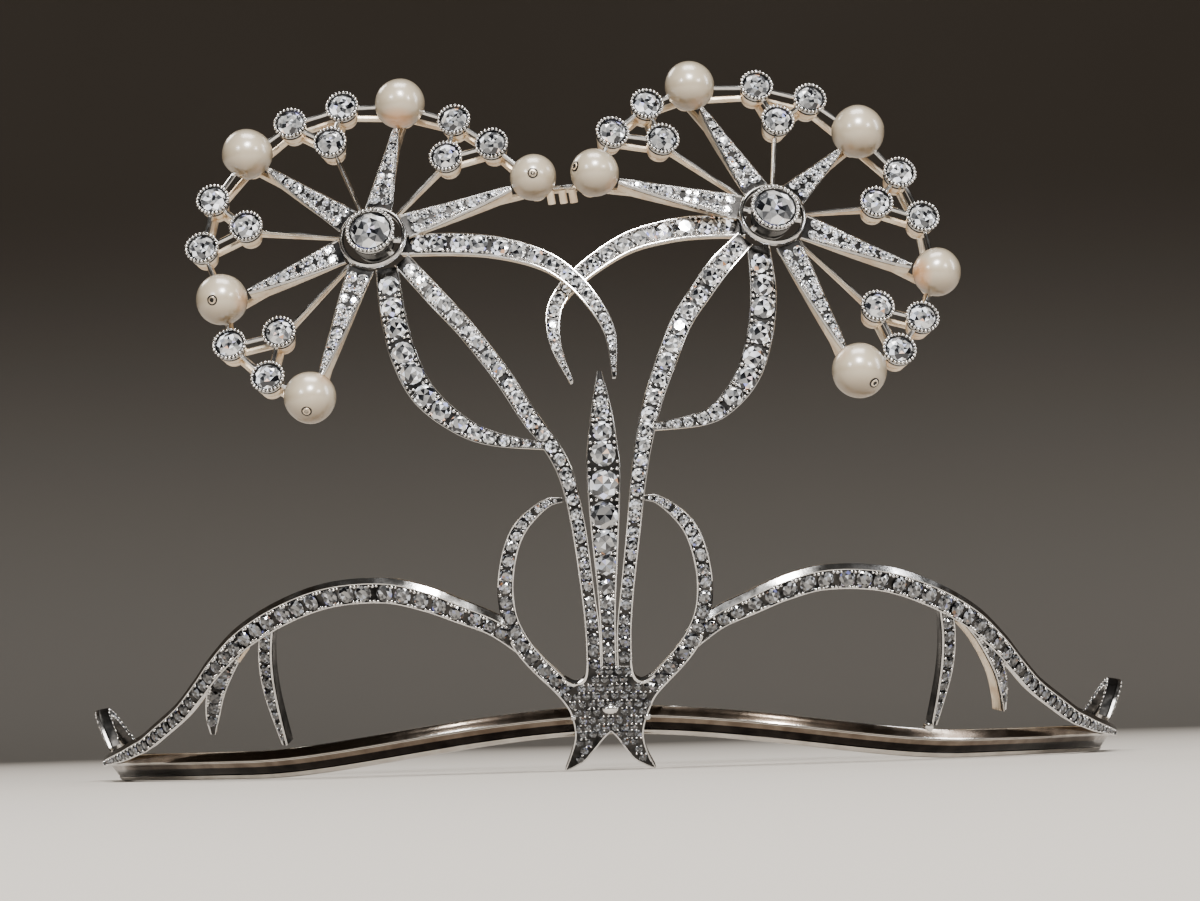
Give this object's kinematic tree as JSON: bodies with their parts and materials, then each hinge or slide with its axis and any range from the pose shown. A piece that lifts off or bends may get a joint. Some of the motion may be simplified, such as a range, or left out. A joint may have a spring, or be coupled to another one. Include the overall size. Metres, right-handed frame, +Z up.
{
  "type": "diamond and pearl tiara",
  "caption": "Tiara of two pearl and diamond umbels on stone-set stems over a polished head band with scrolled arches.",
  "frame": {"origin": "middle of the outline box seen from above, on the surface that it stands on", "axes": "+X to the wearer's left, as seen on the right from the front, +Z up, the front faces -Y"},
  "size_m": [0.154, 0.1059, 0.0944],
  "materials": {
    "band": "polished silver",
    "setting": "silver over a warm gold back",
    "diamond": "cut and polished",
    "pearl": "lustrous"
  },
  "bodies": {
    "root": {"head_band": "band", "spear_and_knot": "setting", "left_spray": "setting", "left_scroll": "setting", "left_end_scroll": "setting", "left_hub_stone": "diamond", "left_collet_stone_1": "diamond", "left_collet_stone_2": "diamond", "left_collet_stone_3": "diamond", "left_collet_stone_4": "diamond", "left_collet_stone_5": "diamond", "left_collet_stone_6": "diamond", "left_collet_stone_7": "diamond", "left_collet_stone_8": "diamond", "left_collet_stone_9": "diamond", "left_collet_stone_10": "diamond", "left_collet_stone_11": "diamond", "left_collet_stone_12": "diamond", "left_pearl_1": "pearl", "left_pearl_2": "pearl", "left_pearl_3": "pearl", "left_pearl_4": "pearl", "left_pearl_5": "pearl", "right_spray": "setting", "right_scroll": "setting", "right_end_scroll": "setting", "right_hub_stone": "diamond", "right_collet_stone_1": "diamond", "right_collet_stone_2": "diamond", "right_collet_stone_3": "diamond", "right_collet_stone_4": "diamond", "right_collet_stone_5": "diamond", "right_collet_stone_6": "diamond", "right_collet_stone_7": "diamond", "right_collet_stone_8": "diamond", "right_collet_stone_9": "diamond", "right_collet_stone_10": "diamond", "right_collet_stone_11": "diamond", "right_collet_stone_12": "diamond", "right_pearl_1": "pearl", "right_pearl_2": "pearl", "right_pearl_3": "pearl", "right_pearl_4": "pearl", "right_pearl_5": "pearl"}
  },
  "joints": []
}
